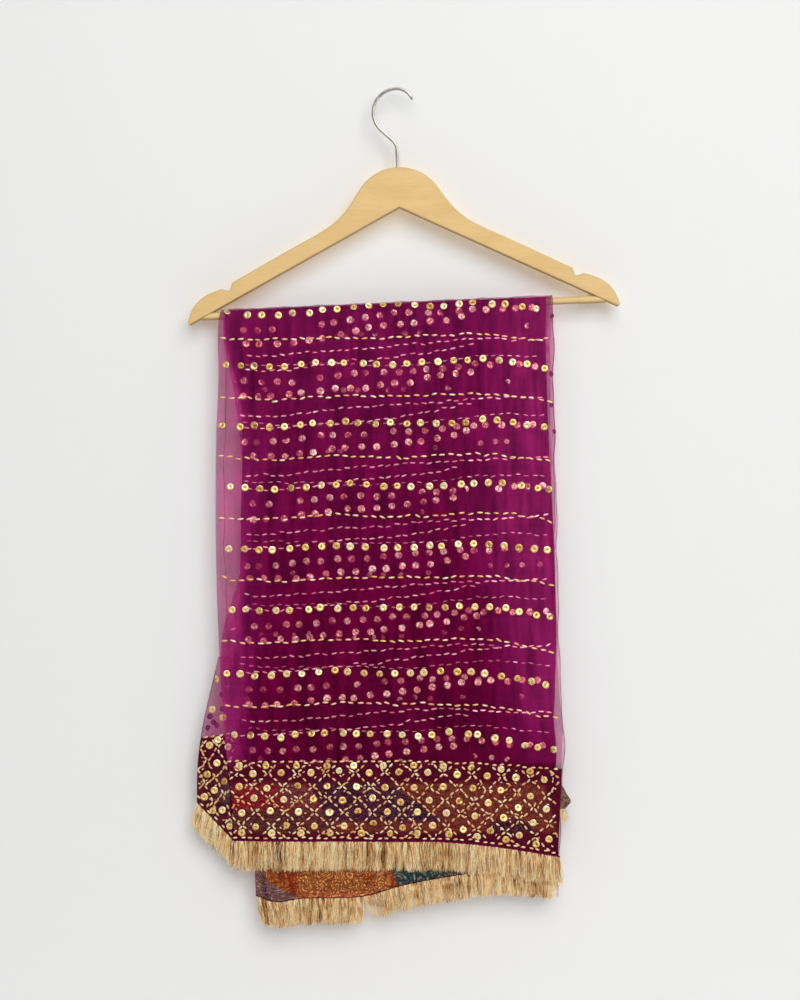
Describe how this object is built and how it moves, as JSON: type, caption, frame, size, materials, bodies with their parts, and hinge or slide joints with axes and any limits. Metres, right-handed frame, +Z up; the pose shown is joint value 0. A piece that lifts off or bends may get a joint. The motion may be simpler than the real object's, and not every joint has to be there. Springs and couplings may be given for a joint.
{
  "type": "dupatta stole folded over a clothes hanger",
  "caption": "Sheer embroidered dupatta stole with brocade borders and a thread fringe, folded over the trouser bar of a wooden hanger with a steel hook.",
  "frame": {"origin": "the hook's seat: the inside of its top, where a wall hook or rail carries the hanger", "axes": "+Z up, +X to the right along the hanger, -Y towards the side that shows"},
  "size_m": [0.4455, 0.0176, 0.8673],
  "materials": {
    "wood": "clear satin varnish on pale hardwood",
    "steel": "bright plated wire",
    "organza": "sheer crisp weave with a slight sheen, gold sequins and running stitch",
    "brocade": "woven silk and metallic thread patchwork",
    "fringe": "loose satin gold thread"
  },
  "bodies": {
    "root": {"hanger_body": "wood", "hanger_bar": "wood", "hanger_hook": "steel", "front_fall": "organza", "back_fall": "organza", "folded_leaves": "organza", "left_pleat": "organza", "inner_end": "organza", "front_border": "brocade", "inner_border": "brocade", "right_corner": "brocade", "fringe_front": "fringe", "fringe_pleat": "fringe", "fringe_inner_left": "fringe", "fringe_inner_right": "fringe", "fringe_corner": "fringe"}
  },
  "joints": []
}
